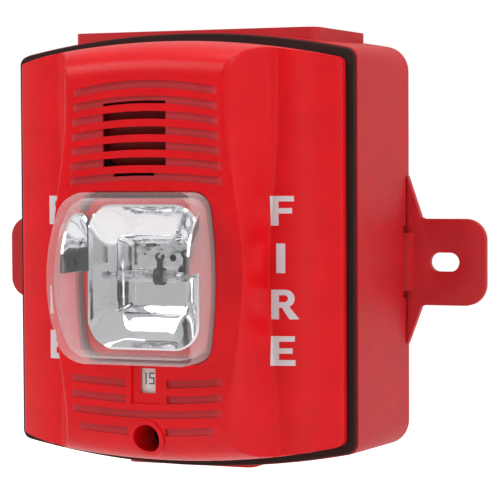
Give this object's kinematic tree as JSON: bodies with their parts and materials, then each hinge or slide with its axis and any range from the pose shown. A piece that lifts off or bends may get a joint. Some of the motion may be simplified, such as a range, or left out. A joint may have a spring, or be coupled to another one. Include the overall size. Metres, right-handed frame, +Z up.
{
  "type": "horn strobe",
  "caption": "Outdoor wall horn strobe: louvred red cover with a clear flash lens, hinged on a sealed back box with slotted mounting ears.",
  "frame": {"origin": "middle of the back box's flat back face, which lies on the wall", "axes": "+Y into the wall, so the front faces -Y; +Z up the wall; +X to the viewer's right of the front"},
  "size_m": [0.1866, 0.1058, 0.1505],
  "materials": {
    "box_red": "fine moulded texture",
    "cover_red": "fine moulded texture, slight sheen",
    "gasket_rubber": "matt",
    "black_plastic": "moulded",
    "plate_grey": "moulded",
    "white_plastic": "moulded",
    "zinc_steel": "zinc plated",
    "brass": "plain",
    "mirror_chrome": "vacuum metallised",
    "board_green": "solder resist on glass laminate",
    "copper_wire": "enamelled copper",
    "capacitor_sleeve": "shrink sleeve",
    "lens_clear": "clear moulded polycarbonate",
    "tube_glass": "clear"
  },
  "bodies": {
    "wall_box": {"back_box": "box_red", "ear_left": "box_red", "ear_right": "box_red", "conduit_plug_top": "box_red", "conduit_plug_bottom": "box_red", "box_gasket": "gasket_rubber", "mounting_plate": "plate_grey", "terminal_block": "black_plastic", "plate_screw_1": "zinc_steel", "plate_screw_2": "zinc_steel", "plate_screw_3": "zinc_steel", "plate_screw_4": "zinc_steel", "terminal_clamp_1": "brass", "terminal_screw_1": "zinc_steel", "terminal_clamp_2": "brass", "terminal_screw_2": "zinc_steel", "terminal_clamp_3": "brass", "terminal_screw_3": "zinc_steel", "terminal_clamp_4": "brass", "terminal_screw_4": "zinc_steel"},
    "device": {"front_cover": "cover_red", "rear_housing": "black_plastic", "circuit_board": "board_green", "lens": "lens_clear", "lens_seal": "gasket_rubber", "reflector": "mirror_chrome", "flash_tube": "tube_glass", "tube_electrode_left": "zinc_steel", "tube_electrode_right": "zinc_steel", "trigger_band": "black_plastic", "horn_chamber": "black_plastic", "piezo_disc": "brass", "piezo_retainer": "black_plastic", "flash_capacitor": "capacitor_sleeve", "inverter_coil": "copper_wire", "trigger_coil": "copper_wire", "slider_track": "black_plastic", "tone_switch": "black_plastic", "board_screw_1": "zinc_steel", "board_screw_2": "zinc_steel", "board_screw_3": "zinc_steel", "board_screw_4": "zinc_steel", "housing_screw_1": "zinc_steel", "housing_screw_2": "zinc_steel", "housing_screw_3": "zinc_steel", "housing_screw_4": "zinc_steel", "contact_pin_1": "brass", "contact_pin_2": "brass", "contact_pin_3": "brass", "contact_pin_4": "brass"},
    "candela_slider": {"candela_slider": "white_plastic"},
    "tone_knob": {"tone_knob": "white_plastic"},
    "device_screw": {"device_screw": "zinc_steel"}
  },
  "joints": [
    {"name": "device_swing", "type": "hinge", "parent": "wall_box", "child": "device", "pos_m": [0, -0.0534, 0.072], "axis": [-1, 0, 0], "range_deg": [0, 25]},
    {"name": "candela_slide", "type": "slide", "parent": "device", "child": "candela_slider", "axis": [1, 0, 0], "range_m": [0, 0.016]},
    {"name": "tone_turn", "type": "hinge", "parent": "device", "child": "tone_knob", "pos_m": [-0.026, -0.036, 0.008], "axis": [0, 1, 0], "range_deg": [0, 315]},
    {"name": "device_screw_turn", "type": "hinge", "parent": "device", "child": "device_screw", "pos_m": [0, -0.04, -0.0613], "axis": [0, 1, 0], "continuous": true}
  ]
}
